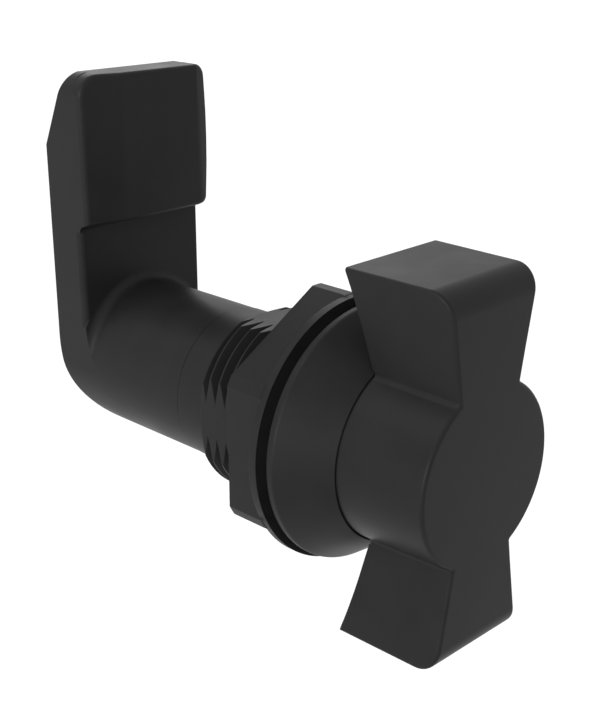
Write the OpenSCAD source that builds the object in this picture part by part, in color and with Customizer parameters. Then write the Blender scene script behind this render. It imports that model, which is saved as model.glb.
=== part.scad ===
// Quarter-turn cam latch with a wing knob, a threaded housing clamped
// through a panel by a hex nut, and a moulded L-shaped cam.
// The latch axis is Y. The panel's front face is y = 0, the knob faces -Y
// and the cam stands up along +Z behind the panel, in the locked position.

/* [Wing knob] */
// Height over both wing tips
wing_span = 41.4; // [36:0.2:50]
// Width of a wing at its tip
wing_tip_w = 14.5; // [11:0.5:17]
// Width of a wing where it leaves the hub
wing_root_w = 10.4; // [8:0.2:11]
// Diameter of the round hub at the back
hub_d = 20.7; // [20:0.1:20.8]
// Diameter of the round hub at the front face
hub_front_d = 20.5; // [20:0.1:20.6]
// Reach of the knob's face in front of the panel
knob_reach = 18.1; // [15:0.1:22]
// Radius across the outer front edge of each wing
wing_nose_r = 2.8; // [2:0.1:5]
// Radius on the knob's other edges
knob_edge_r = 0.5; // [0.3:0.1:0.8]

/* [Housing] */
// Diameter of the flange that bears on the panel
flange_d = 29; // [26:0.2:32]
// Nominal thread diameter
thread_d = 22; // [22:0.5:24]
// Distance across the four flats cut into the thread
thread_flats = 19.7; // [19.4:0.1:20.4]
// Reach of the thread behind the panel
thread_reach = 14.2; // [12:0.1:15]
// Diameter of the plain rear ring
ring_d = 18.4; // [17.6:0.1:19]
// Reach of the rear ring behind the panel
ring_reach = 18.9; // [18:0.1:21]
// Thickness of the flange gasket
gasket_t = 0.9; // [0.5:0.1:1.5]
// Diameter of the flange gasket
gasket_d = 29.8; // [28:0.2:33]

/* [Nut] */
// Distance across the nut's flats
nut_af = 26.8; // [26:0.1:30]
// Thickness of the nut with its collar
nut_t = 5.8; // [4.5:0.1:6.5]
// Diameter of the nut's round collar
nut_collar_d = 30; // [28:0.5:34]
// Diameter across the nut's turned-off corners
nut_corner_d = 30.2; // [29:0.1:31]

/* [Cam] */
// Reach of the cam's back face behind the panel
cam_reach = 41.2; // [38:0.2:48]
// Width of the cam and diameter of its tube
cam_w = 18.3; // [17.6:0.1:19]
// Height of the cam's tip above the latch axis, at its left edge
cam_h = 35.3; // [30:0.1:45]
// Thickness of the cam's plate
plate_t = 5.6; // [4.5:0.1:7]
// Height of the hook's bearing face above the plate's front
hook_t = 2.7; // [1.5:0.1:3.5]
// Height of the hook's underside above the latch axis
hook_z = 17.8; // [15:0.1:20]
// Radius of the elbow between the tube and the plate's back
elbow_r = 12.1; // [10:0.1:14]

/* [Spindle] */
// Diameter of the spindle's journal
journal_d = 13; // [12:0.5:13]
// Side of the square that drives the cam
square_w = 8; // [7:0.5:8]
// Travel between the two stops in degrees
turn_deg = 90; // [60:5:90]

/* [Hidden] */
$fn = 96;

// Clearances between pieces
touch = 0.03;
run_gap = 0.05;
fit_gap = 0.1;

// Housing: the flange's front and its recesses
flange_back = -gasket_t;
rim_w = 0.9;
rim_taper = 0.2;
rim_round = 0.15;
cone_front = -7.05;
recess_d = hub_d + 0.5;
recess_floor = -5;
pocket_floor = -3.2;
lug_r = 9.7;
lug_deg = 24;
collar_r = 7.6;
bore_r = journal_d / 2 + run_gap;
counterbore_r = 7.9;
counterbore_y = 12.9;
thread_chamfer_r = 1.15;
thread_chamfer_l = 0.75;

// Knob: the hub's seat, the wings' backs and the socket
hub_back = recess_floor - 0.15;
wing_root_y = -6.9;
wing_tip_y = -4.8;
wing_back_bulge = 0.2;
wing_relief_r = 11.1;
wing_relief_y = cone_front - 0.2;
head_w = 9;
head_corner_r = 6;
head_front = -knob_reach + 2.5;

// Spindle: grooves, shoulders and the tapped hole
collar_front = hub_back + touch;
collar_back = pocket_floor - touch;
groove_root_r = journal_d / 2 - 1.6;
groove_w = 2.3;
front_groove_y = -1.4;
rear_groove_y = 8.6;
o_ring_r = 0.8;
thrust_t = 0.8;
wave_t = 0.4;
wave_rise = 0.22;
ring_t = 1;
thrust_y = counterbore_y + touch;
wave_y = thrust_y + thrust_t + touch;
ring_y = wave_y + wave_t + 2 * wave_rise + 2 * touch;
ring_groove_r = journal_d / 2 - 0.5;
shoulder_y = ring_y + ring_t + 0.25;
square_corner_r = 5.4;
square_end = 24.7;
screw_r = 2.5;
tapped_depth = 12;

// Cam: spigot, socket, web, counterbore and the plate's shape
cam_r = cam_w / 2;
cam_front = ring_reach + fit_gap;
spigot_r = 7;
spigot_y = shoulder_y + touch;
socket_end = square_end + 0.3;
web_t = 3;
web_y = socket_end + web_t;
head_bore_r = 5.4;
plate_y = cam_reach - plate_t;
hook_y = plate_y - hook_t;
tube_fillet_r = 1.3;
plate_edge_r = 0.8;
plate_edge_small_r = 0.3;
crease_x = -4.1;
lead_in = 1.3;
land_x = 7.4;
land_chamfer = 0.5;
hook_edge_r = 1.1;
hook_fillet_r = 0.9;
left_corner_r = 2.6;
right_corner_r = 1.6;
hook_corner_r = 1;
tip_drop = 0.4;
taper_z = 26.6;
taper_t = 4.1;

// Screw stack in the cam's counterbore
washer_t = 1;
lock_t = 1.2;
washer_y = web_y + touch;
lock_y = washer_y + washer_t + touch;
screw_head_y = lock_y + lock_t + touch;
screw_head_r = 4.25;
screw_head_h = 5;
socket_af = 4;
screw_l = 14;

// Places a shape drawn in X and height so that it is extruded along +Y from y
module along_y(y = 0) {
    translate([0, y, 0]) mirror([0, 1, 0]) rotate([90, 0, 0]) children();
}

// Extrudes a side view, drawn in Y and Z, evenly to both sides of the YZ plane
module side_view(width) {
    rotate([90, 0, 90]) linear_extrude(width, center = true) children();
}

// Round bar or disc about the latch axis
module bar(r, y0, y1) {
    along_y(y0) cylinder(r = r, h = y1 - y0);
}

// Ring about the latch axis
module ring(r0, r1, y0, y1) {
    along_y(y0) difference() {
        cylinder(r = r1, h = y1 - y0);
        translate([0, 0, -1]) cylinder(r = r0, h = y1 - y0 + 2);
    }
}

// Square bar with round corners about the latch axis
module square_bar(w, corner_r, y0, y1) {
    along_y(y0) linear_extrude(y1 - y0) intersection() {
        square(w, center = true);
        circle(r = corner_r);
    }
}

// Sector of a circle, centred on a bearing in degrees
module sector(r, bearing, spread) {
    steps = 12;
    polygon(concat([[0, 0]], [
        for (i = [0:steps])
            let (a = bearing + spread * (i / steps - 0.5), reach = r / cos(spread / 2 / steps))
            [reach * cos(a), reach * sin(a)]
    ]));
}

// What a radius r takes off a square corner that points to +X and +Y
module corner(r) {
    translate([-r, -r]) difference() {
        square(r + 1);
        circle(r = r);
    }
}

// Round hub of the knob with its front edge rounded
module hub() {
    front = -knob_reach;
    front_r = hub_front_d / 2;
    along_y() rotate_extrude() difference() {
        polygon([
            [0, front], [front_r, front], [hub_d / 2, wing_relief_y], [hub_d / 2, hub_back], [0, hub_back]
        ]);
        translate([front_r, front]) mirror([0, 1]) corner(knob_edge_r);
    }
}

// Block under one flank of a wing: it leans outwards and has rounded edges
module wing_flank(side) {
    front = -knob_reach;
    lean = atan((wing_tip_w - wing_root_w) / (wing_span - hub_d));
    mirror([side < 0 ? 1 : 0, 0, 0]) translate([wing_root_w / 2, 0, hub_d / 2]) rotate([0, lean, 0])
        linear_extrude(2 * wing_span, center = true) difference() {
            translate([-2 * wing_tip_w, front]) square([2 * wing_tip_w, knob_reach]);
            translate([0, front]) mirror([0, 1]) corner(knob_edge_r);
        }
}

// One wing of the knob, drawn upright: a block that widens to its tip, with
// a large radius across its outer front edge and a hollow back
module wing() {
    front = -knob_reach;
    tip = wing_span / 2;
    root = hub_d / 2;
    rise = [wing_tip_y - wing_root_y, tip - root];
    back_r = (pow(norm(rise) / 2, 2) + pow(wing_back_bulge, 2)) / (2 * wing_back_bulge);
    outward = [rise[1], -rise[0]] / norm(rise);
    hollow = [wing_root_y, root] + rise / 2 + outward * (back_r - wing_back_bulge);
    intersection() {
        wing_flank(1);
        wing_flank(-1);
        side_view(2 * wing_tip_w) difference() {
            translate([front, root - 2]) square([wing_tip_y - front, tip - root + 2]);
            translate([front, tip]) mirror([1, 0]) corner(wing_nose_r);
            translate([wing_tip_y, tip]) corner(knob_edge_r);
            polygon([[wing_root_y, root], [wing_tip_y, tip], [0, tip + 1], [0, root - 3], [wing_root_y, root - 3]]);
            translate(hollow) circle(r = back_r);
        }
    }
}

// Hub with two wings, whose backs are relieved round the hub to clear the cone
module wing_knob() {
    color([0.17, 0.17, 0.18]) difference() {
        union() {
            hub();
            difference() {
                union() {
                    wing();
                    mirror([0, 0, 1]) wing();
                }
                ring(hub_d / 2 - 1, wing_relief_r, wing_relief_y, 0);
            }
        }
        square_bar(head_w, head_corner_r, head_front, hub_back + 1);
    }
}

// Turned spindle: square head in the knob, collar with the stop lug, journal
// with seal grooves, and the square that carries the cam
module spindle() {
    color([0.72, 0.73, 0.75]) difference() {
        union() {
            square_bar(head_w, head_corner_r, head_front, collar_front);
            bar(collar_r, collar_front, collar_back);
            along_y(collar_front) linear_extrude(collar_back - collar_front) intersection() {
                circle(r = lug_r);
                sector(lug_r + 1, 90, lug_deg);
            }
            bar(journal_d / 2, collar_back, shoulder_y);
            square_bar(square_w, square_corner_r, shoulder_y, square_end);
        }
        ring(groove_root_r, journal_d, front_groove_y, front_groove_y + groove_w);
        ring(groove_root_r, journal_d, rear_groove_y, rear_groove_y + groove_w);
        ring(ring_groove_r, journal_d, ring_y - touch, ring_y + ring_t + touch);
        bar(screw_r + touch / 2, square_end - tapped_depth, square_end + 1);
    }
}

// Seal ring that fills a spindle groove out to the bore
module o_ring(groove_y) {
    color([0.08, 0.08, 0.08]) along_y(groove_y + groove_w / 2)
        rotate_extrude() translate([bore_r - touch - o_ring_r, 0]) circle(r = o_ring_r, $fn = 32);
}

module front_o_ring() {
    o_ring(front_groove_y);
}

module rear_o_ring() {
    o_ring(rear_groove_y);
}

// Cone flange, threaded barrel with four flats and the plain rear ring
module housing() {
    flange_r = flange_d / 2;
    color([0.14, 0.14, 0.15]) difference() {
        union() {
            along_y() rotate_extrude() difference() {
                polygon([
                    [0, flange_back], [flange_r - rim_taper, flange_back],
                    [flange_r, flange_back - rim_w], [recess_d / 2 + 0.1, cone_front], [0, cone_front]
                ]);
                translate([flange_r, flange_back - rim_w]) mirror([0, 1]) corner(rim_round);
            }
            intersection() {
                along_y() rotate_extrude() polygon([
                    [0, flange_back - 1], [thread_d / 2, flange_back - 1],
                    [thread_d / 2, thread_reach - thread_chamfer_l],
                    [thread_d / 2 - thread_chamfer_r, thread_reach], [0, thread_reach]
                ]);
                translate([0, thread_reach / 2, 0])
                    cube([thread_flats, 2 * thread_reach, thread_flats], center = true);
            }
            bar(ring_d / 2, 0, ring_reach);
        }
        bar(recess_d / 2, cone_front - 1, recess_floor);
        bar(collar_r + fit_gap, recess_floor - 1, pocket_floor);
        along_y(recess_floor - 1) linear_extrude(pocket_floor - recess_floor + 1) intersection() {
            circle(r = lug_r + fit_gap);
            sector(lug_r + 1, 90 - turn_deg / 2, turn_deg + lug_deg + 0.6);
        }
        bar(bore_r, recess_floor - 1, ring_reach + 1);
        bar(counterbore_r, counterbore_y, ring_reach + 1);
    }
}

module flange_gasket() {
    color([0.05, 0.05, 0.05]) ring(thread_d / 2 + touch, gasket_d / 2, flange_back, 0);
}

// Hexagon with a round collar on the panel side, corners turned off
module hex_nut() {
    color([0.15, 0.15, 0.16]) difference() {
        union() {
            bar(nut_collar_d / 2, touch, 1);
            intersection() {
                along_y(0.9) rotate([0, 0, 90]) cylinder(d = nut_af / cos(30), h = nut_t - 0.9, $fn = 6);
                bar(nut_corner_d / 2, 0.9, nut_t);
            }
        }
        bar(thread_d / 2 + run_gap, -1, nut_t + 1);
    }
}

module thrust_washer() {
    color([0.75, 0.75, 0.77]) ring(journal_d / 2 + fit_gap, counterbore_r - 0.15, thrust_y, thrust_y + thrust_t);
}

// Three-wave spring washer in its fitted, half-flattened state
module wave_washer() {
    waves = 3;
    steps = 72;
    r0 = journal_d / 2 + 0.15;
    r1 = counterbore_r - 0.2;
    lift = wave_y + wave_rise;
    points = [
        for (i = [0:steps - 1])
            let (a = 360 * i / steps, y = lift + wave_rise * sin(waves * a))
            for (corner = [[r0, 0], [r1, 0], [r1, wave_t], [r0, wave_t]])
            [corner[0] * cos(a), y + corner[1], corner[0] * sin(a)]
    ];
    faces = [
        for (i = [0:steps - 1], k = [0:3])
            let (j = (i + 1) % steps, m = (k + 1) % 4)
            for (face = [[4 * i + k, 4 * i + m, 4 * j + m], [4 * i + k, 4 * j + m, 4 * j + k]])
            face
    ];
    color([0.6, 0.6, 0.62]) polyhedron(points, faces);
}

// Open ring that snaps into the spindle's rear groove
module retaining_ring() {
    color([0.35, 0.35, 0.37]) difference() {
        ring(ring_groove_r + touch, counterbore_r - 0.3, ring_y, ring_y + ring_t);
        along_y(ring_y - 1) linear_extrude(ring_t + 2) sector(journal_d, -90, 70);
    }
}

// Side view of the cam: everything the elbow and the tip's taper leave
module cam_side() {
    difference() {
        translate([spigot_y - 1, -cam_r]) square([cam_reach - spigot_y + 1, cam_h + cam_r]);
        translate([cam_reach, -cam_r]) mirror([0, 1]) corner(elbow_r);
        polygon([
            [cam_reach, taper_z], [cam_reach - taper_t, cam_h],
            [cam_reach - taper_t, cam_h + 1], [cam_reach + 1, cam_h + 1], [cam_reach + 1, taper_z]
        ]);
    }
}

// Front view of the cam's plate: straight sides tangent to the tube, and a
// tip that falls slightly to the right
module plate_front() {
    difference() {
        polygon([[-cam_r, 0], [-cam_r, cam_h], [cam_r, cam_h - tip_drop], [cam_r, 0]]);
        translate([cam_r, cam_h - tip_drop]) corner(right_corner_r);
        translate([-cam_r, cam_h]) mirror([1, 0]) corner(left_corner_r);
    }
}

// Plate seen from above, with its front edges rounded
module plate_plan() {
    difference() {
        translate([-cam_r, plate_y]) square([cam_w, plate_t]);
        translate([cam_r, plate_y]) mirror([0, 1]) corner(plate_edge_small_r);
        translate([-cam_r, plate_y]) rotate(180) corner(plate_edge_r);
    }
}

// Hook pad seen from above: lead-in ramp, bearing land and a short chamfer
module hook_plan() {
    back = plate_y + plate_edge_r;
    polygon([
        [-cam_r, back], [-cam_r, hook_y + lead_in], [crease_x, hook_y],
        [land_x, hook_y], [cam_r, hook_y + land_chamfer], [cam_r, back]
    ]);
}

// Hook pad seen from the front: the plate's outline with a round lower corner
module hook_front() {
    difference() {
        plate_front();
        translate([cam_r, hook_z]) mirror([0, 1]) corner(hook_corner_r);
    }
}

// Hook pad in side view: rounded lower edge and a fillet into the plate
module hook_side() {
    difference() {
        translate([hook_y, hook_z]) square([hook_t + plate_edge_r, cam_h - hook_z]);
        translate([hook_y, hook_z]) rotate(180) corner(hook_edge_r);
    }
    difference() {
        translate([plate_y - hook_fillet_r, hook_z - hook_fillet_r])
            square([hook_fillet_r + plate_edge_r, hook_fillet_r + 0.1]);
        translate([plate_y - hook_fillet_r, hook_z - hook_fillet_r]) circle(r = hook_fillet_r);
    }
}

// One-piece cam: tube, elbow, upright plate and the hook at its tip
module cam() {
    color([0.16, 0.16, 0.17]) difference() {
        intersection() {
            union() {
                bar(cam_r, cam_front, cam_reach);
                bar(spigot_r, spigot_y, cam_front);
                intersection() {
                    along_y(plate_y) linear_extrude(plate_t) plate_front();
                    linear_extrude(cam_h) plate_plan();
                }
                intersection() {
                    along_y(plate_y - tube_fillet_r) rotate_extrude() difference() {
                        square([cam_r + tube_fillet_r, tube_fillet_r + plate_edge_r]);
                        translate([cam_r + tube_fillet_r, 0]) circle(r = tube_fillet_r);
                    }
                    along_y(plate_y - tube_fillet_r) linear_extrude(plate_t) plate_front();
                }
                intersection() {
                    linear_extrude(cam_h) hook_plan();
                    side_view(cam_w) hook_side();
                    along_y(hook_y - 1) linear_extrude(plate_t) hook_front();
                }
            }
            side_view(cam_w + 2) cam_side();
        }
        square_bar(square_w + fit_gap, square_corner_r + fit_gap / 2, spigot_y - 1, socket_end);
        bar(screw_r + 0.3, socket_end - 1, cam_reach + 1);
        bar(head_bore_r, web_y, cam_reach + 1);
    }
}

module cam_washer() {
    color([0.75, 0.75, 0.77]) ring(screw_r + 0.2, head_bore_r - 0.3, washer_y, washer_y + washer_t);
}

// Split spring washer, flattened by the screw
module lock_washer() {
    color([0.6, 0.6, 0.62]) difference() {
        ring(screw_r + 0.1, screw_head_r + 0.2, lock_y, lock_y + lock_t);
        translate([0, lock_y + lock_t / 2, -screw_head_r]) rotate([0, 25, 0])
            cube([0.5, 2 * lock_t, 2 * screw_head_r - 2], center = true);
    }
}

// Socket head screw that holds the cam on the spindle
module cam_screw() {
    color([0.3, 0.3, 0.32]) difference() {
        union() {
            bar(screw_r, screw_head_y - screw_l, screw_head_y);
            bar(screw_head_r, screw_head_y, screw_head_y + screw_head_h);
        }
        along_y(screw_head_y + screw_head_h / 2)
            cylinder(d = socket_af / cos(30), h = screw_head_h, $fn = 6);
    }
}

wing_knob();
spindle();
front_o_ring();
rear_o_ring();
housing();
flange_gasket();
hex_nut();
thrust_washer();
wave_washer();
retaining_ring();
cam();
cam_washer();
lock_washer();
cam_screw();
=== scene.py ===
"""Looks of a quarter-turn cam latch with a wing knob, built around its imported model.

Meshes are in metres in the model's own frame. The latch axis is Y, the panel's
front face is y = 0, the knob faces -Y and the cam stands up along +Z.
"""

import math

import bmesh
import bpy
from mathutils import Matrix, Quaternion, Vector


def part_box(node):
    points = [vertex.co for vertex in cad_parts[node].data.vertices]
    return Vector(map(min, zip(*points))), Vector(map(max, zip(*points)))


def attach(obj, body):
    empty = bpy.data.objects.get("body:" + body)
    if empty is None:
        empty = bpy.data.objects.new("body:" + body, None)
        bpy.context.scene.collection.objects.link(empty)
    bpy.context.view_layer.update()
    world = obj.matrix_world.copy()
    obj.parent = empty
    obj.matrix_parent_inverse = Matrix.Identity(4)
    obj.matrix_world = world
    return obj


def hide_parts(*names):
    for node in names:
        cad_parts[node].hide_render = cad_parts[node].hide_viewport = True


bl_info = {
    "name": "Quarter-turn cam latch",
    "version": (1, 0, 0),
    "blender": (4, 5, 0),
    "location": "View3D > Sidebar > Latch",
    "description": "Dresses a wing-knob cam latch: mouldings, thread, seals and fixings",
    "category": "Object",
}

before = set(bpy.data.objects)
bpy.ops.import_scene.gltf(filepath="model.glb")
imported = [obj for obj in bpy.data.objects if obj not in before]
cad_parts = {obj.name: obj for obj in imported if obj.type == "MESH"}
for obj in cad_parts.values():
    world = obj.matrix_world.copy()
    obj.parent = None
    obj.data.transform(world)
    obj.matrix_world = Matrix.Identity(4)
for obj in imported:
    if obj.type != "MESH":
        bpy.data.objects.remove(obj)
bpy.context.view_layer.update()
MM = 0.001
# Two places closer than this are one place
NEAR = 0.001 * MM
# Two faces at less than this angle are one flat
FLAT = math.radians(0.2)
# How far a cutting tool reaches past what it cuts
BEYOND = 1 * MM
# Most of a noise texture lies between these values
NOISE_LOW, NOISE_HIGH = 0.3, 0.7


# Sizes and colours that a user would change

class LatchKnobSizes(bpy.types.PropertyGroup):
    """Sizes of the wing knob."""

    face: bpy.props.FloatProperty(
        name="Face", description="Reach of the knob's face in front of the panel",
        default=-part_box("wing_knob")[0].y, unit="LENGTH")
    span: bpy.props.FloatProperty(
        name="Half span", description="Height of a wing's tip above the latch axis",
        default=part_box("wing_knob")[1].z, unit="LENGTH")
    tip_half: bpy.props.FloatProperty(
        name="Tip half width", description="Half the width of a wing at its tip",
        default=7.25 * MM, unit="LENGTH")
    hub_front_r: bpy.props.FloatProperty(
        name="Hub front radius", description="Radius of the hub at its face",
        default=10.25 * MM, unit="LENGTH")
    hub_back_r: bpy.props.FloatProperty(
        name="Hub back radius", description="Radius of the hub in the flange's recess",
        default=10.54 * MM, unit="LENGTH")
    nose_r: bpy.props.FloatProperty(
        name="Nose radius", description="Radius across the outer front edge of a wing",
        default=2.8 * MM, unit="LENGTH")
    edge_r: bpy.props.FloatProperty(
        name="Edge radius", description="Radius on the knob's other edges",
        default=0.42 * MM, unit="LENGTH")


class LatchThreadSizes(bpy.types.PropertyGroup):
    """Sizes of the thread that the housing and the nut share."""

    radius: bpy.props.FloatProperty(
        name="Major radius", description="Radius of the thread's crest",
        default=11 * MM, unit="LENGTH")
    pitch: bpy.props.FloatProperty(
        name="Pitch", description="Advance of the thread in one turn",
        default=1.5 * MM, unit="LENGTH")
    phase: bpy.props.FloatProperty(
        name="Phase", description="Place along the axis where a groove crosses the left flat",
        default=10.08 * MM, unit="LENGTH")
    depth: bpy.props.FloatProperty(
        name="Depth", description="Depth of the groove below the crest",
        default=0.95 * MM, unit="LENGTH")
    root: bpy.props.FloatProperty(
        name="Root", description="Width of the flat at the bottom of the groove",
        default=0.2 * MM, unit="LENGTH")


class LatchPadSizes(bpy.types.PropertyGroup):
    """Sizes of the pad on the cam's hook."""

    ramp: bpy.props.FloatProperty(
        name="Ramp", description="How far the lead-in ramp falls back at the pad's left side",
        default=1.3 * MM, unit="LENGTH")
    ramp_end: bpy.props.FloatProperty(
        name="Ramp's end", description="Place across the pad where the ramp meets the land",
        default=-4.1 * MM, unit="LENGTH")
    land_end: bpy.props.FloatProperty(
        name="Land's end", description="Place across the pad where the land meets the chamfer",
        default=7.4 * MM, unit="LENGTH")
    chamfer: bpy.props.FloatProperty(
        name="Chamfer", description="How far the chamfer falls back at the pad's right side",
        default=0.5 * MM, unit="LENGTH")
    edge_r: bpy.props.FloatProperty(
        name="Edge radius", description="Radius on the pad's edges",
        default=0.55 * MM, unit="LENGTH")


class LatchFinish(bpy.types.PropertyGroup):
    """Colours of the latch's materials."""

    moulded: bpy.props.FloatVectorProperty(
        name="Mouldings", description="Colour of the glass-filled nylon",
        default=(0.0152, 0.0152, 0.0156), size=3, subtype="COLOR")
    gasket: bpy.props.FloatVectorProperty(
        name="Gasket", description="Colour of the flange gasket's rubber",
        default=(0.0045, 0.0045, 0.0045), size=3, subtype="COLOR")
    seal: bpy.props.FloatVectorProperty(
        name="Seals", description="Colour of the O-rings' rubber",
        default=(0.012, 0.012, 0.012), size=3, subtype="COLOR")
    plated: bpy.props.FloatVectorProperty(
        name="Plated steel", description="Colour of the zinc plating",
        default=(0.62, 0.63, 0.65), size=3, subtype="COLOR")
    spring: bpy.props.FloatVectorProperty(
        name="Spring steel", description="Colour of the oiled spring steel",
        default=(0.25, 0.25, 0.27), size=3, subtype="COLOR")


class LatchStage(bpy.types.PropertyGroup):
    """Camera, floor and light."""

    azimuth: bpy.props.FloatProperty(
        name="Azimuth", description="Bearing of the camera, from in front towards the right",
        default=math.radians(-45.106), subtype="ANGLE")
    elevation: bpy.props.FloatProperty(
        name="Elevation", description="Angle of the camera above the horizon",
        default=math.radians(22.279), subtype="ANGLE")
    roll: bpy.props.FloatProperty(
        name="Roll", description="Turn of the camera about its own line of sight",
        default=math.radians(-0.132), subtype="ANGLE")
    distance: bpy.props.FloatProperty(
        name="Distance", description="Distance from the camera to its aim on the latch axis",
        default=153.9 * MM, unit="LENGTH")
    aim: bpy.props.FloatProperty(
        name="Aim", description="Place on the latch axis that the camera looks at",
        default=10.444 * MM, unit="LENGTH")
    lens: bpy.props.FloatProperty(
        name="Lens", description="Focal length for a frame 36 mm high", default=66.997)
    shift: bpy.props.FloatVectorProperty(
        name="Shift", description="Shift of the frame off the line of sight",
        default=(0.01875, 0.05791), size=2)
    floor: bpy.props.FloatProperty(
        name="Floor", description="Height of the floor", default=-120 * MM, unit="LENGTH")
    level: bpy.props.FloatProperty(
        name="Light level", description="Brightness of the even light", default=0.7, min=0)
    key: bpy.props.FloatProperty(
        name="Key softbox", description="Brightness of the softbox behind and above on the left",
        default=3.2, min=0)
    side: bpy.props.FloatProperty(
        name="Side softbox", description="Brightness of the low softbox on the left",
        default=7, min=0)
    rear: bpy.props.FloatProperty(
        name="Rear softbox", description="Brightness of the softbox behind on the right",
        default=1.7, min=0)


# Materials

def add(tree, kind, inputs=(), **settings):
    """Adds a node, sets its properties, and sets or links its inputs."""
    made = tree.nodes.new(kind)
    for key, value in settings.items():
        setattr(made, key, value)
    for key, value in dict(inputs).items():
        if isinstance(value, bpy.types.NodeSocket):
            tree.links.new(value, made.inputs[key])
        else:
            made.inputs[key].default_value = value
    return made


def start_material(name):
    """A material with a Principled shader, and Object coordinates for its patterns."""
    material = bpy.data.materials.new(name)
    material.use_nodes = True
    tree = material.node_tree
    shader = tree.nodes["Principled BSDF"]
    place = add(tree, "ShaderNodeTexCoord").outputs["Object"]
    return material, tree, shader, place


def noise(tree, place, size, detail=3, roughness=0.55):
    """Noise whose grains are about size metres across."""
    return add(tree, "ShaderNodeTexNoise", {
        "Vector": place, "Scale": 1 / size, "Detail": detail, "Roughness": roughness,
    }).outputs["Fac"]


def spread(tree, value, low, high):
    """Maps noise, which lies around one half, to a range."""
    return add(tree, "ShaderNodeMapRange", {
        "Value": value, "From Min": NOISE_LOW, "From Max": NOISE_HIGH, "To Min": low, "To Max": high,
    }).outputs["Result"]


def tint(tree, value, colour, share):
    """Colour that varies by a share of itself with noise."""
    ramp = add(tree, "ShaderNodeValToRGB", {"Fac": value})
    ends = ((NOISE_LOW, 1 - share), (NOISE_HIGH, 1 + share))
    for stop, (place, factor) in zip(ramp.color_ramp.elements, ends):
        stop.position = place
        stop.color = [c * factor for c in colour] + [1]
    return ramp.outputs["Color"]


def moulded_plastic(name, colour, grain=0.16 * MM, rough=(0.38, 0.46), edge=0.12 * MM):
    """Glass-filled nylon from a spark-eroded mould: fine grain, soft edges."""
    material, tree, shader, place = start_material(name)
    grains = noise(tree, place, grain, detail=2)
    clouds = noise(tree, place, 6 * MM)
    soft = add(tree, "ShaderNodeBevel", {"Radius": edge}, samples=6)
    bump = add(tree, "ShaderNodeBump", {
        "Strength": 0.12, "Distance": 0.01 * MM, "Height": grains, "Normal": soft.outputs["Normal"],
    })
    tree.links.new(tint(tree, clouds, colour, 0.1), shader.inputs["Base Color"])
    tree.links.new(spread(tree, clouds, *rough), shader.inputs["Roughness"])
    tree.links.new(bump.outputs["Normal"], shader.inputs["Normal"])
    shader.inputs["IOR"].default_value = 1.45
    shader.inputs["Specular IOR Level"].default_value = 0.12
    return material


def rubber(name, colour, rough, grain, gloss):
    """Moulded rubber: duller than the nylon, with a fine skin."""
    material, tree, shader, place = start_material(name)
    grains = noise(tree, place, grain, detail=4)
    bump = add(tree, "ShaderNodeBump", {"Strength": 0.3, "Distance": 0.02 * MM, "Height": grains})
    tree.links.new(tint(tree, noise(tree, place, 2 * MM), colour, 0.15), shader.inputs["Base Color"])
    tree.links.new(spread(tree, grains, rough, rough + 0.12), shader.inputs["Roughness"])
    tree.links.new(bump.outputs["Normal"], shader.inputs["Normal"])
    shader.inputs["Specular IOR Level"].default_value = gloss
    return material


def turned_steel(name, colour, rough):
    """Turned steel: rings about the latch axis, with a mottled skin."""
    material, tree, shader, place = start_material(name)
    axes = add(tree, "ShaderNodeSeparateXYZ", {"Vector": place})
    square_x, square_z = (
        add(tree, "ShaderNodeMath", {0: axes.outputs[axis], 1: axes.outputs[axis]},
            operation="MULTIPLY").outputs[0]
        for axis in ("X", "Z")
    )
    total = add(tree, "ShaderNodeMath", {0: square_x, 1: square_z}, operation="ADD")
    radius = add(tree, "ShaderNodeMath", {0: total.outputs[0]}, operation="SQRT")
    turned = add(tree, "ShaderNodeCombineXYZ", {"X": radius.outputs[0], "Y": axes.outputs["Y"]})
    rings = noise(tree, turned.outputs["Vector"], 0.09 * MM, detail=2)
    mottle = noise(tree, place, 1.2 * MM)
    bump = add(tree, "ShaderNodeBump", {"Strength": 0.15, "Distance": 0.01 * MM, "Height": rings})
    tree.links.new(tint(tree, mottle, colour, 0.08), shader.inputs["Base Color"])
    tree.links.new(spread(tree, rings, rough, rough + 0.12), shader.inputs["Roughness"])
    tree.links.new(bump.outputs["Normal"], shader.inputs["Normal"])
    shader.inputs["Metallic"].default_value = 1
    return material


def seen_white(tree):
    """One for the rays that show the background: camera, glossy and transmission rays."""
    path = add(tree, "ShaderNodeLightPath")
    shine = add(tree, "ShaderNodeMath", {
        0: path.outputs["Is Glossy Ray"], 1: path.outputs["Is Transmission Ray"],
    }, operation="MAXIMUM")
    seen = add(tree, "ShaderNodeMath", {
        0: path.outputs["Is Camera Ray"], 1: shine.outputs[0],
    }, operation="MAXIMUM")
    return seen.outputs[0]


def bearing(azimuth, elevation):
    """Direction out from the latch, turned from in front of the knob to the right, and up."""
    level = math.cos(elevation)
    return Vector((math.sin(azimuth) * level, -math.cos(azimuth) * level, math.sin(elevation)))


def finish_of(kind):
    """The finish for a material slot, made the first time that it is asked for."""
    colours = bpy.context.scene.latch_finish
    name = kind + "_finish"
    made = bpy.data.materials.get(name)
    if made:
        return made
    if kind in ("knob_plastic", "housing_plastic", "cam_plastic"):
        return moulded_plastic(name, colours.moulded)
    if kind == "gasket_rubber":
        return rubber(name, colours.gasket, rough=0.8, grain=0.2 * MM, gloss=0.02)
    if kind == "seal_rubber":
        return rubber(name, colours.seal, rough=0.35, grain=0.3 * MM, gloss=0.3)
    if kind == "plated_steel":
        return turned_steel(name, colours.plated, rough=0.25)
    return turned_steel(name, colours.spring, rough=0.38)


# Meshes

def dress(node, kind):
    """Gives a CAD node its finish."""
    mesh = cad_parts[node].data
    mesh.materials.clear()
    mesh.materials.append(finish_of(kind))


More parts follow.
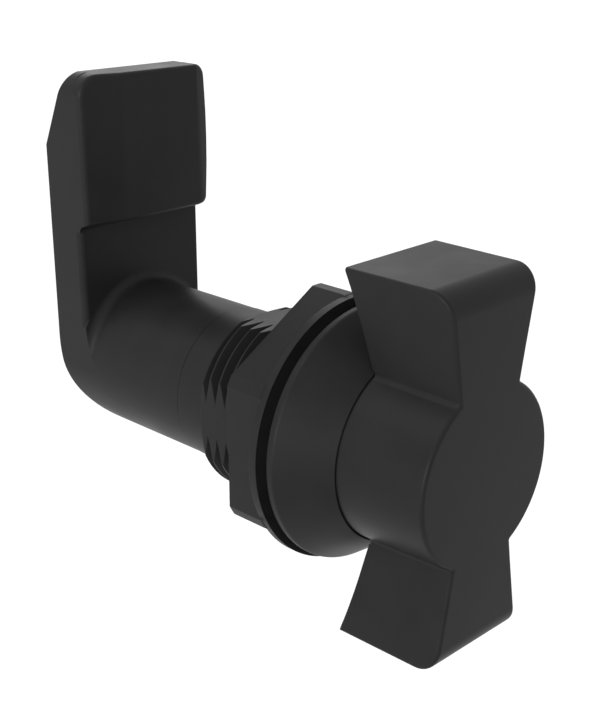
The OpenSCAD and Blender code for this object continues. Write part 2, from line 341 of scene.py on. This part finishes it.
def new_piece(name, bm, kind, body, smooth):
    """Makes a bmesh an object with its finish, shaded smooth up to an angle in degrees.

    An edge that is already marked sharp stays sharp.
    """
    bmesh.ops.recalc_face_normals(bm, faces=bm.faces)
    for face in bm.faces:
        face.smooth = True
    for edge in bm.edges:
        if edge.calc_face_angle(math.pi) > math.radians(smooth):
            edge.smooth = False
    mesh = bpy.data.meshes.new(name)
    bm.to_mesh(mesh)
    bm.free()
    mesh.materials.append(finish_of(kind))
    piece = bpy.data.objects.new(name, mesh)
    bpy.context.scene.collection.objects.link(piece)
    even = piece.modifiers.new("even", "WEIGHTED_NORMAL")
    even.keep_sharp = True
    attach(piece, body)
    return piece


def merged_copy(node):
    """A bmesh of a CAD node with its loose triangles joined and its flats made whole."""
    bm = bmesh.new()
    bm.from_mesh(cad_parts[node].data)
    bmesh.ops.remove_doubles(bm, verts=bm.verts, dist=NEAR / 2)
    bmesh.ops.dissolve_limit(bm, angle_limit=FLAT, verts=bm.verts, edges=bm.edges)
    return bm


def rebuilt(bm):
    """The same mesh built again in the order of its points, whatever order its edges came in."""
    bm.verts.index_update()
    rings = []
    for face in bm.faces:
        ring = [v.index for v in face.verts]
        first = ring.index(min(ring))
        rings.append(ring[first:] + ring[:first])
    result = bmesh.new()
    verts = [result.verts.new(v.co) for v in bm.verts]
    for ring in sorted(rings):
        result.faces.new([verts[i] for i in ring])
    result.normal_update()
    bm.free()
    return result


def cut(bm, tool, operation="DIFFERENCE"):
    """Cuts one closed bmesh with another and returns the result. Both are used up."""
    made = []
    for part in (bm, tool):
        bmesh.ops.recalc_face_normals(part, faces=part.faces)
        mesh = bpy.data.meshes.new("cutting")
        part.to_mesh(mesh)
        part.free()
        item = bpy.data.objects.new("cutting", mesh)
        bpy.context.scene.collection.objects.link(item)
        made.append(item)
    cutter = made[0].modifiers.new("cut", "BOOLEAN")
    cutter.operation = operation
    cutter.solver = "EXACT"
    cutter.object = made[1]
    bpy.context.view_layer.update()
    done = made[0].evaluated_get(bpy.context.evaluated_depsgraph_get())
    result = bmesh.new()
    result.from_mesh(done.to_mesh())
    done.to_mesh_clear()
    for item in made:
        mesh = item.data
        bpy.data.objects.remove(item)
        bpy.data.meshes.remove(mesh)
    return result


def bar(segments, front_r, back_r, front, back):
    """A closed round bar about the latch axis, between two places along it."""
    bm = bmesh.new()
    bmesh.ops.create_cone(
        bm, cap_ends=True, segments=segments, radius1=front_r, radius2=back_r, depth=back - front,
        matrix=Matrix.Translation((0, (front + back) / 2, 0)) @ Matrix.Rotation(math.radians(-90), 4, "X"))
    return bm


def turned(segments, outline, ring=False):
    """A closed solid about the latch axis, turned from pairs of radius and place along the axis.

    The outline starts and ends on the axis, or joins its own start where it makes a ring.
    """
    bm = bmesh.new()
    verts = [bm.verts.new((r, y, 0)) for r, y in outline]
    nexts = verts[1:] + verts[:1] if ring else verts[1:]
    edges = [bm.edges.new(pair) for pair in zip(verts, nexts)]
    bmesh.ops.spin(
        bm, geom=[*verts, *edges], cent=(0, 0, 0), axis=(0, 1, 0), dvec=(0, 0, 0),
        angle=math.tau, steps=segments, use_merge=True, use_duplicate=False)
    bmesh.ops.remove_doubles(bm, verts=bm.verts, dist=NEAR / 10)
    return rebuilt(bm)


def block(low, high):
    """A closed box between two corners."""
    low, high = Vector(low), Vector(high)
    bm = bmesh.new()
    bmesh.ops.create_cube(
        bm, size=1, matrix=Matrix.Translation((low + high) / 2) @ Matrix.Diagonal((*(high - low), 1)))
    return bm


def prism(sides, across, front, back):
    """A closed bar with flat sides about the latch axis, by its width across flats."""
    radius = across / 2 / math.cos(math.pi / sides)
    bm = bar(sides, radius, radius, front, back)
    bmesh.ops.rotate(
        bm, verts=bm.verts, cent=(0, 0, 0), matrix=Matrix.Rotation(math.pi / sides, 3, "Y"))
    return bm


def round_edges(bm, edges, radius, segments):
    """Rounds edges of a bmesh to a radius."""
    bmesh.ops.bevel(
        bm, geom=edges, offset=radius, segments=segments, profile=0.5, affect="EDGES", material=-1)


def coil(radius, pitch, phase, depth, root, start, end):
    """A closed helical ridge that fills a thread's groove between two places along the axis."""
    steps = 72
    flank = math.radians(30)
    clearance = 0.4 * MM
    root_r = radius - depth
    outer_r = radius + clearance
    root_half = root / 2
    outer_half = root_half + (outer_r - root_r) * math.tan(flank)
    turns = math.ceil((end - start) / pitch)
    first = phase + math.floor((start - phase) / pitch) * pitch
    bm = bmesh.new()
    section = (
        (root_r, -root_half), (root_r, root_half), (outer_r, outer_half), (outer_r, -outer_half))
    face = bm.faces.new([bm.verts.new((-r, first + y, 0)) for r, y in section])
    bmesh.ops.spin(
        bm, geom=[face, *face.verts, *face.edges], cent=(0, 0, 0), axis=(0, 1, 0),
        dvec=(0, pitch / steps, 0), angle=math.tau * turns, steps=steps * turns, use_duplicate=False)
    return rebuilt(bm)


# Operators: one for each piece or group of like pieces, and one for the stage

class LATCH_OT_knob(bpy.types.Operator):
    """Builds the wing knob, with its nose radius, soft edges and filleted roots"""

    bl_idname = "latch.knob"
    bl_label = "Wing knob"

    # The hub's sides, and how many of them lie between a wing's middle and its side
    facets = 88
    wing_facets = 7
    wing_steps = 6
    # Places of the backs along the axis, and how far the wing's back is hollowed
    hub_back = -5.15 * MM
    root_back = -6.9 * MM
    tip_back = -4.8 * MM
    hollow = 0.2 * MM
    # The ring round the hub that is cut out of the wings' backs
    relief_back = -7.25 * MM
    relief_r = 11.1 * MM
    hub_gap = 0.01 * MM
    # Edges that turn further than this are rounded
    sharp = math.radians(25)
    socket_across = 9 * MM
    socket_front = -15.6 * MM
    socket_edge = 0.53 * MM

    def execute(self, context):
        sizes = context.scene.latch_knob
        bm = bar(self.facets, sizes.hub_front_r, sizes.hub_back_r, -sizes.face, self.hub_back)
        bmesh.ops.bisect_plane(
            bm, geom=[*bm.verts, *bm.edges, *bm.faces], plane_co=(0, self.root_back, 0), plane_no=(0, 1, 0))
        for side in (1, -1):
            self.grow_wing(bm, sizes, side)
        bmesh.ops.recalc_face_normals(bm, faces=bm.faces)
        bm = rebuilt(bm)
        bmesh.ops.dissolve_limit(bm, angle_limit=math.radians(0.3), verts=bm.verts, edges=bm.edges)
        self.soften(bm, sizes)
        bm = cut(bm, self.relief(sizes))
        bm = cut(bm, self.socket())
        knob = new_piece("knob_moulding", bm, "knob_plastic", "rotor", smooth=40)
        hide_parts("wing_knob")
        return {"FINISHED"}

    def wing_back(self, sizes, z):
        """Place of the wing's slanted, slightly hollow back at a height above the axis."""
        length = sizes.span - sizes.hub_back_r
        share = (z - sizes.hub_back_r) / length
        slope = (self.tip_back - self.root_back) / length
        dip = self.hollow * 4 * max(share, 0) * (1 - share)
        return self.root_back + slope * (z - sizes.hub_back_r) - dip

    def grow_wing(self, bm, sizes, side):
        """Draws a wing out of the hub's side, up or down, in steps that widen towards its tip."""
        turn = math.tau * self.wing_facets / self.facets
        root_half = sizes.hub_back_r * math.sin(turn)
        root_z = sizes.hub_back_r * math.cos(turn)
        front_zone = -sizes.face + 1 * MM
        reach = 0.98 * root_half
        steep = 0.5
        faces = [
            f for f in bm.faces
            if f.calc_center_median().y < self.root_back and side * f.calc_center_median().z > 0
            and abs(f.calc_center_median().x) < reach and abs(f.normal.y) < steep
        ]
        for v in {v for f in faces for v in f.verts}:
            if v.co.y > front_zone:
                v.co.y = self.wing_back(sizes, abs(v.co.z))
        for step in range(1, self.wing_steps + 1):
            height = sizes.hub_back_r + (sizes.span - sizes.hub_back_r) * step / self.wing_steps
            grown = bmesh.ops.extrude_face_region(bm, geom=faces)["geom"]
            bmesh.ops.delete(bm, geom=[f for f in faces if f.is_valid], context="FACES")
            faces = [g for g in grown if isinstance(g, bmesh.types.BMFace)]
            share = (height - root_z) / (sizes.span - root_z)
            half = root_half + (sizes.tip_half - root_half) * share
            verts = {v for f in faces for v in f.verts}
            widest = max(abs(v.co.x) for v in verts)
            for v in verts:
                v.co.x *= half / widest
                v.co.z = side * height
                if v.co.y > front_zone:
                    v.co.y = self.wing_back(sizes, height)

    def soften(self, bm, sizes):
        """Rounds the wings' noses, and then every other edge in front of the parting line."""
        noses = [
            e for e in bm.edges
            if all(abs(abs(v.co.z) - sizes.span) < NEAR and v.co.y < -sizes.face + NEAR for v in e.verts)
        ]
        round_edges(bm, noses, sizes.nose_r, 12)
        parting = self.relief_back - 0.05 * MM
        edges = [
            e for e in bm.edges
            if e.calc_face_angle() > self.sharp and min(v.co.y for v in e.verts) < parting
        ]
        round_edges(bm, edges, sizes.edge_r, 4)

    def relief(self, sizes):
        """The ring that relieves the wings' backs round the hub, to clear the flange."""
        inner_r = sizes.hub_back_r + self.hub_gap
        end = self.hub_back + BEYOND
        return turned(self.facets, [
            (inner_r, self.relief_back), (self.relief_r, self.relief_back),
            (self.relief_r, end), (inner_r, end)], ring=True)

    def socket(self):
        """The square socket that takes the spindle's head."""
        bm = prism(4, self.socket_across, self.socket_front, self.hub_back + BEYOND)
        corners = [e for e in bm.edges if abs(e.verts[0].co.y - e.verts[1].co.y) > NEAR]
        round_edges(bm, corners, self.socket_edge, 3)
        return bm


class LATCH_OT_housing(bpy.types.Operator):
    """Rounds the flange's rim and cuts the helical thread, which runs out on the barrel's four flats"""

    bl_idname = "latch.housing"
    bl_label = "Threaded housing"

    # The rim, which is a little smaller behind, and the arc that rounds it
    rim_r = 14.5 * MM
    rim_draft = 0.04 * MM
    rim_behind = -1 * MM
    rim_round_r = 0.6 * MM
    rim_round_from = -1.605 * MM
    rim_round_turn = math.radians(36)
    # Where the CAD's own rounding lies, and the step and the cone that follow it
    old_round_r = (14.485 * MM, 14.333 * MM)
    old_step = -1.9 * MM
    old_end = -2.03 * MM
    cone_inside = 14.2 * MM
    # The thread's two ends along the axis
    thread_from = 0.8 * MM
    thread_to = 15.5 * MM

    def execute(self, context):
        thread = context.scene.latch_thread
        bm = merged_copy("housing")
        self.round_rim(bm)
        bm = cut(bm, coil(
            thread.radius, thread.pitch, thread.phase, thread.depth, thread.root,
            self.thread_from, self.thread_to))
        housing = new_piece("housing_moulding", bm, "housing_plastic", "housing", smooth=28)
        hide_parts("housing")
        return {"FINISHED"}

    def round_rim(self, bm):
        """Moves the rings of points round the flange's rim onto one arc that runs into the cone."""
        outer, inner = self.old_round_r
        for v in bm.verts:
            reach = math.hypot(v.co.x, v.co.z)
            if reach < self.cone_inside or v.co.y < self.old_end:
                continue
            if v.co.y > self.rim_behind:
                new_reach, place = self.rim_r - self.rim_draft, v.co.y
            else:
                share = 1 if v.co.y < self.old_step else max((outer - reach) / (outer - inner), 0)
                turn = self.rim_round_turn * share
                new_reach = self.rim_r - self.rim_round_r * (1 - math.cos(turn))
                place = self.rim_round_from - self.rim_round_r * math.sin(turn)
            v.co = (v.co.x * new_reach / reach, place, v.co.z * new_reach / reach)


class LATCH_OT_nut(bpy.types.Operator):
    """Turns off the nut's corners where they meet its collar, and countersinks its bore"""

    bl_idname = "latch.nut"
    bl_label = "Hex nut"

    def execute(self, context):
        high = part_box("hex_nut")[1]
        collar_r = high.x
        collar_back = 0.9 * MM
        bore_r = context.scene.latch_thread.radius + 0.05 * MM
        sink = 0.35 * MM
        spare = 0.01 * MM
        cone_front_r = collar_r + 0.012 * MM
        cone_back_r = collar_r + 0.12 * MM
        outside = collar_r + 0.5 * MM
        before = collar_back - 0.15 * MM
        behind = collar_back + 0.5 * MM
        bm = cut(merged_copy("hex_nut"), turned(192, [
            (cone_front_r, before), (outside, before), (outside, behind), (cone_back_r, behind),
        ], ring=True))
        bm = cut(bm, bar(96, bore_r - spare, bore_r + sink, high.y - sink, high.y + spare))
        nut = new_piece("nut_moulding", bm, "housing_plastic", "nut", smooth=28)
        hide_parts("hex_nut")
        return {"FINISHED"}


class LATCH_OT_cam(bpy.types.Operator):
    """Gives the cam's hook its pad: a lead-in ramp, a land and a chamfer, with soft edges"""

    bl_idname = "latch.cam"
    bl_label = "Cam"

    pad_front = 32.9 * MM
    pad_back = 35.75 * MM
    pad_low = 17.8 * MM
    # The top edge falls towards the right, and has the CAD's full height at one place
    top_fall = 0.0219
    top_level_x = -7.04 * MM
    top_left_r = 2.6 * MM
    top_right_r = 1.6 * MM
    low_right_r = 1 * MM

    def execute(self, context):
        low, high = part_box("cam")
        bm = cut(merged_copy("cam"), block(
            (low.x - BEYOND, self.pad_front - BEYOND, self.pad_low),
            (high.x + BEYOND, self.pad_back, high.z + BEYOND)))
        bm = cut(bm, self.pad(low, high, context.scene.latch_pad), "UNION")
        bmesh.ops.dissolve_limit(bm, angle_limit=FLAT, verts=bm.verts, edges=bm.edges)
        self.crease(bm)
        open_edges = sum(not e.is_manifold for e in bm.edges)
        if open_edges:
            raise RuntimeError(f"The cam has {open_edges} open edges")
        cam = new_piece("cam_moulding", bm, "cam_plastic", "rotor", smooth=28)
        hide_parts("cam")
        return {"FINISHED"}

    def pad(self, low, high, sizes):
        """The pad as a closed block that fits into the cut in the CAD's cam."""
        front, back = self.pad_front, self.pad_back
        section = [
            (low.x, back), (low.x, front + sizes.ramp), (sizes.ramp_end, front),
            (sizes.land_end, front), (high.x, front + sizes.chamfer), (high.x, back),
        ]
        bm = bmesh.new()
        face = bm.faces.new([bm.verts.new((x, y, self.pad_low)) for x, y in section])
        grown = bmesh.ops.extrude_face_region(bm, geom=[face])["geom"]
        for v in (g for g in grown if isinstance(g, bmesh.types.BMVert)):
            v.co.z = high.z - self.top_fall * (v.co.x - self.top_level_x)
        bmesh.ops.recalc_face_normals(bm, faces=bm.faces)
        bm = rebuilt(bm)
        corners = (
            (low.x, high.z, self.top_left_r), (high.x, high.z, self.top_right_r),
            (high.x, self.pad_low, self.low_right_r),
        )
        slack = 0.5 * MM
        for x, z, radius in corners:
            corner = [
                e for e in bm.edges
                if all(abs(v.co.x - x) < NEAR and abs(v.co.z - z) < slack for v in e.verts)
            ]
            round_edges(bm, corner, radius, 10)
        sharp = math.radians(40)
        frontal = -0.8
        rim = [
            e for e in bm.edges
            if e.calc_face_angle() > sharp and min(f.normal.y for f in e.link_faces) < frontal
            and min(v.co.x for v in e.verts) < high.x - 10 * NEAR
        ]
        round_edges(bm, rim, sizes.edge_r, 4)
        return bm

    def crease(self, bm):
        """Keeps the long lines between ramp, land and chamfer crisp."""
        length = 5 * MM
        angle = math.radians(8)
        frontal = -0.9
        for edge in bm.edges:
            on_pad = all(
                f.normal.y < frontal and f.calc_center_median().z > self.pad_low + 1 * MM
                for f in edge.link_faces)
            if on_pad and edge.calc_length() > length and edge.calc_face_angle() > angle:
                edge.smooth = False


class LATCH_OT_screw(bpy.types.Operator):
    """Turns the cam's socket head screw, with its hexagon socket, chamfers and thread"""

    bl_idname = "latch.screw"
    bl_label = "Cam screw"

    def execute(self, context):
        low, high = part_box("cam_screw")
        facets = 72
        head_r = high.x
        head_front = high.y - 5 * MM
        screw_r = 2.5 * MM
        point = 0.5 * MM
        front_edge = 0.2 * MM
        back_edge = 0.4 * MM
        socket_across = 4 * MM
        socket_depth = 2.6 * MM
        lead_depth = 0.5 * MM
        spare = 0.05 * MM
        pitch = 0.8 * MM
        thread_depth = 0.45 * MM
        thread_root = 0.1 * MM
        thread_end = head_front - 1.4 * MM
        bm = turned(facets, [
            (0, low.y), (screw_r - point, low.y), (screw_r, low.y + point), (screw_r, head_front),
            (head_r - front_edge, head_front), (head_r, head_front + front_edge),
            (head_r, high.y - back_edge), (head_r - back_edge, high.y), (0, high.y),
        ])
        bm = cut(bm, prism(6, socket_across, high.y - socket_depth, high.y + BEYOND))
        bm = cut(bm, turned(facets, [
            (0, high.y - lead_depth), (socket_across / 2, high.y - lead_depth),
            (socket_across / 2 + lead_depth + spare, high.y + spare), (0, high.y + spare)]))
        bm = cut(bm, coil(screw_r, pitch, 0, thread_depth, thread_root, low.y, thread_end))
        screw = new_piece("socket_screw", bm, "spring_steel", "rotor", smooth=30)
        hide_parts("cam_screw")
        return {"FINISHED"}


class LATCH_OT_seals(bpy.types.Operator):
    """Moulds the flange gasket, with its slanted lip, and the two O-rings"""

    bl_idname = "latch.seals"
    bl_label = "Gasket and O-rings"

    def execute(self, context):
        low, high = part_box("flange_gasket")
        rim_r = 14.47 * MM
        bore_r = context.scene.latch_thread.radius + 0.05 * MM
        lip = [
            (rim_r + out * MM, low.y - ahead * MM)
            for out, ahead in ((0, 0.1), (0.04, 0.11), (0.08, 0.08))
        ]
        bead = [
            (high.x - inward * MM, high.y - ahead * MM)
            for inward, ahead in ((0.1, 0.3), (0.03, 0.2), (0, 0.1), (0.03, 0))
        ]
        outline = [(bore_r, low.y), (rim_r, low.y), *lip, *bead, (bore_r, high.y)]
        bm = turned(192, outline, ring=True)
        gasket = new_piece("lip_gasket", bm, "gasket_rubber", "housing", smooth=50)
        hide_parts("flange_gasket")
        for name, node in (("front_seal", "front_o_ring"), ("rear_seal", "rear_o_ring")):
            self.seal(name, node)
        return {"FINISHED"}

    def seal(self, name, node):
        """An O-ring whose round section has the fine parting line of its mould."""
        low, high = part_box(node)
        section_r = (high.y - low.y) / 2
        steps = 24
        flash = 0.02 * MM
        outline = []
        for step in range(steps):
            turn = math.tau * step / steps
            parted = step % (steps // 2) == 0
            reach = section_r if parted else section_r - flash
            outline.append((
                high.x - section_r + reach * math.cos(turn),
                low.y + section_r + reach * math.sin(turn),
            ))
        bm = turned(96, outline, ring=True)
        seal = new_piece(name, bm, "seal_rubber", "rotor", smooth=50)
        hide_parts(node)


class LATCH_OT_inner(bpy.types.Operator):
    """Finishes the steel pieces inside the housing and the cam"""

    bl_idname = "latch.inner"
    bl_label = "Steel parts"

    def execute(self, context):
        finishes = {
            "plated_steel": ("spindle", "thrust_washer", "cam_washer"),
            "spring_steel": ("wave_washer", "retaining_ring", "lock_washer"),
        }
        for kind, nodes in finishes.items():
            for node in nodes:
                dress(node, kind)
        return {"FINISHED"}


class LATCH_OT_stage(bpy.types.Operator):
    """Sets the camera, the pale floor and the soft light"""

    bl_idname = "latch.stage"
    bl_label = "Camera, floor and light"

    def execute(self, context):
        stage = context.scene.latch_stage
        self.camera(context, stage)
        self.floor(context, stage)
        self.light(context, stage)
        context.scene.view_settings.view_transform = "Standard"
        return {"FINISHED"}

    def camera(self, context, stage):
        """A camera that looks at a point on the latch axis."""
        data = bpy.data.cameras.new("camera")
        data.sensor_fit = "VERTICAL"
        data.sensor_height = 36
        data.lens = stage.lens
        data.shift_x, data.shift_y = stage.shift
        data.clip_start = 0.01
        camera = bpy.data.objects.new("camera", data)
        context.scene.collection.objects.link(camera)
        back = bearing(stage.azimuth, stage.elevation)
        camera.location = Vector((0, stage.aim, 0)) + back * stage.distance
        camera.rotation_mode = "QUATERNION"
        camera.rotation_quaternion = back.to_track_quat("Z", "Y") @ Quaternion((0, 0, 1), stage.roll)
        context.scene.camera = camera

    def floor(self, context, stage):
        """A wide pale floor that shows white to the camera and keeps a soft shadow."""
        half_side = 3
        grain = 0.2
        glow_share = 0.4
        bm = bmesh.new()
        bmesh.ops.create_grid(
            bm, x_segments=2, y_segments=2, size=half_side, matrix=Matrix.Translation((0, 0, stage.floor)))
        mesh = bpy.data.meshes.new("floor")
        bm.to_mesh(mesh)
        bm.free()
        material, tree, shader, place = start_material("floor")
        pale = tint(tree, noise(tree, place, grain), (0.8, 0.8, 0.8), 0.01)
        tree.links.new(pale, shader.inputs["Base Color"])
        shader.inputs["Roughness"].default_value = 0.9
        shader.inputs["Specular IOR Level"].default_value = 0
        tree.links.new(pale, shader.inputs["Emission Color"])
        glow = add(tree, "ShaderNodeMath", {0: seen_white(tree), 1: glow_share}, operation="MULTIPLY")
        tree.links.new(glow.outputs[0], shader.inputs["Emission Strength"])
        mesh.materials.append(material)
        floor = bpy.data.objects.new("floor", mesh)
        context.scene.collection.objects.link(floor)

    def light(self, context, stage):
        """Even white surroundings and three softboxes, each a disc in the sky.

        A softbox has its brightness, then azimuth, elevation and half its width in degrees.
        """
        world = bpy.data.worlds.new("studio")
        world.use_nodes = True
        tree = world.node_tree
        tree.nodes.clear()
        strength = add(tree, "ShaderNodeMapRange", {
            "Value": seen_white(tree), "To Min": stage.level, "To Max": 1,
        })
        shade = add(tree, "ShaderNodeBackground", {
            "Color": (1, 1, 1, 1), "Strength": strength.outputs["Result"],
        })
        add(tree, "ShaderNodeOutputWorld", {"Surface": shade.outputs["Background"]})
        context.scene.world = world
        softboxes = {
            "key": (stage.key, -130, 53, 12),
            "side": (stage.side, -84, 0, 21.6),
            "rear": (stage.rear, 146, 28, 16),
        }
        for name, (brightness, azimuth, elevation, half) in softboxes.items():
            data = bpy.data.lights.new(name, "SUN")
            data.angle = 2 * math.radians(half)
            data.energy = brightness * math.pi * math.sin(math.radians(half)) ** 2
            lamp = bpy.data.objects.new(name, data)
            lamp.visible_camera = False
            lamp.rotation_mode = "QUATERNION"
            towards = bearing(math.radians(azimuth), math.radians(elevation))
            lamp.rotation_quaternion = towards.to_track_quat("Z", "Y")
            context.scene.collection.objects.link(lamp)


class LATCH_PT_latch(bpy.types.Panel):
    """Lists the latch's sizes, colours and steps"""

    bl_idname = "LATCH_PT_latch"
    bl_label = "Cam latch"
    bl_space_type = "VIEW_3D"
    bl_region_type = "UI"
    bl_category = "Latch"

    def draw(self, context):
        for group in GROUPS:
            box = self.layout.box()
            for key in GROUPS[group].__annotations__:
                box.prop(getattr(context.scene, group), key)
        for operator in STEPS:
            self.layout.operator(operator.bl_idname)


GROUPS = {
    "latch_knob": LatchKnobSizes,
    "latch_thread": LatchThreadSizes,
    "latch_pad": LatchPadSizes,
    "latch_finish": LatchFinish,
    "latch_stage": LatchStage,
}
STEPS = (
    LATCH_OT_stage, LATCH_OT_knob, LATCH_OT_housing, LATCH_OT_nut, LATCH_OT_cam, LATCH_OT_screw,
    LATCH_OT_seals, LATCH_OT_inner,
)


def register():
    for group, kind in GROUPS.items():
        bpy.utils.register_class(kind)
        setattr(bpy.types.Scene, group, bpy.props.PointerProperty(type=kind))
    for kind in (*STEPS, LATCH_PT_latch):
        bpy.utils.register_class(kind)


def unregister():
    for kind in (LATCH_PT_latch, *reversed(STEPS)):
        bpy.utils.unregister_class(kind)
    for group, kind in GROUPS.items():
        delattr(bpy.types.Scene, group)
        bpy.utils.unregister_class(kind)


def main():
    register()
    bpy.ops.latch.stage()
    bpy.ops.latch.knob()
    bpy.ops.latch.housing()
    bpy.ops.latch.nut()
    bpy.ops.latch.cam()
    bpy.ops.latch.screw()
    bpy.ops.latch.seals()
    bpy.ops.latch.inner()


if __name__ == "__main__":
    main()
